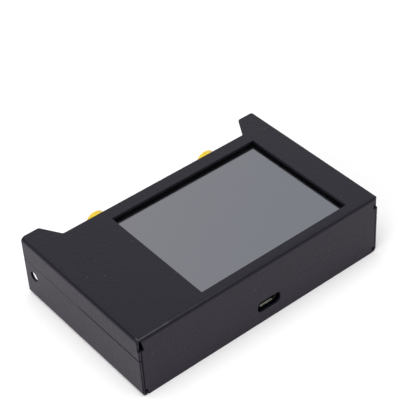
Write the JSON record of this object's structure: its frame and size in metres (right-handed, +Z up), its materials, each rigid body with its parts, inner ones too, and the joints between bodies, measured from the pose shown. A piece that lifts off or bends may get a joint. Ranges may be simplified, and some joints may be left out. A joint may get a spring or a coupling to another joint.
{
  "type": "antenna analyzer",
  "caption": "Handheld antenna analyzer: a folded black metal case with a large touch screen, eared port panel with capped threaded sockets, push buttons, slide switch and charging socket.",
  "frame": {"origin": "middle of the case's footprint, ears left out, on the face that it stands on", "axes": "+X along the long side, +Y from the charging wall to the antenna ports, +Z up through the screen"},
  "size_m": [0.104, 0.0672, 0.0255],
  "materials": {
    "case_coat": "fine textured matte black powder coat",
    "screen_glass": "smooth satin touch layer over an unlit grey display",
    "display_dark": "dark display cell",
    "white_plastic": "plain white moulding",
    "bright_steel": "bright nickel-plated steel",
    "black_screw": "black oxide",
    "amber_film": "amber polyimide film",
    "board_laminate": "dark green solder mask",
    "gold_plate": "gold-plated brass",
    "yellow_plastic": "soft yellow moulding",
    "black_plastic": "plain black moulding",
    "clear_plastic": "milky lens",
    "pouch_foil": "matte laminated foil",
    "red_sleeve": "thin wire sleeve"
  },
  "bodies": {
    "case": {"backlight": "white_plastic", "battery": "pouch_foil", "battery_plug": "white_plastic", "board_header": "black_plastic", "board_socket": "black_plastic", "bottom_shell": "case_coat", "cable_clamp": "white_plastic", "case_screw_1": "black_screw", "case_screw_2": "black_screw", "case_screw_3": "black_screw", "case_screw_4": "black_screw", "display_board": "board_laminate", "display_panel": "display_dark", "display_tray": "bright_steel", "flat_cable": "amber_film", "key_switch_enter": "bright_steel", "key_switch_left": "bright_steel", "key_switch_right": "bright_steel", "lead_black": "black_plastic", "lead_red": "red_sleeve", "lower_spacer_1": "bright_steel", "lower_spacer_2": "bright_steel", "lower_spacer_3": "bright_steel", "lower_spacer_4": "bright_steel", "main_board": "board_laminate", "port_1": "gold_plate", "port_2": "gold_plate", "port_contact_1": "gold_plate", "port_contact_2": "gold_plate", "port_insulator_1": "white_plastic", "port_insulator_2": "white_plastic", "port_nut_1": "gold_plate", "port_nut_2": "gold_plate", "port_panel": "case_coat", "port_washer_1": "gold_plate", "port_washer_2": "gold_plate", "power_switch_body": "bright_steel", "processor": "black_plastic", "radio_shield_1": "bright_steel", "radio_shield_2": "bright_steel", "status_light_1": "clear_plastic", "status_light_2": "clear_plastic", "top_post_1": "bright_steel", "top_post_2": "bright_steel", "top_post_3": "bright_steel", "top_post_4": "bright_steel", "top_shell": "case_coat", "touch_glass": "screen_glass", "upper_spacer_1": "bright_steel", "upper_spacer_2": "bright_steel", "upper_spacer_3": "bright_steel", "upper_spacer_4": "bright_steel", "usb_insert": "black_plastic", "usb_shell": "bright_steel"},
    "dust_cap_1": {"dust_cap_1": "yellow_plastic"},
    "dust_cap_2": {"dust_cap_2": "yellow_plastic"},
    "power_slider": {"power_switch_slider": "black_plastic"},
    "left_button": {"button_left": "black_plastic"},
    "enter_button": {"button_enter": "black_plastic"},
    "right_button": {"button_right": "black_plastic"}
  },
  "joints": [
    {"name": "dust_cap_1_pull", "type": "slide", "parent": "case", "child": "dust_cap_1", "axis": [0, 1, 0], "range_m": [0, 0.02]},
    {"name": "dust_cap_2_pull", "type": "slide", "parent": "case", "child": "dust_cap_2", "axis": [0, 1, 0], "range_m": [0, 0.02]},
    {"name": "power_slide", "type": "slide", "parent": "case", "child": "power_slider", "axis": [1, 0, 0], "range_m": [0, 0.002]},
    {"name": "left_button_press", "type": "slide", "parent": "case", "child": "left_button", "axis": [0, -1, 0], "range_m": [0, 0.0004], "stiffness_N_per_m": 200},
    {"name": "enter_button_press", "type": "slide", "parent": "case", "child": "enter_button", "axis": [0, -1, 0], "range_m": [0, 0.0004], "stiffness_N_per_m": 200},
    {"name": "right_button_press", "type": "slide", "parent": "case", "child": "right_button", "axis": [0, -1, 0], "range_m": [0, 0.0004], "stiffness_N_per_m": 200}
  ]
}
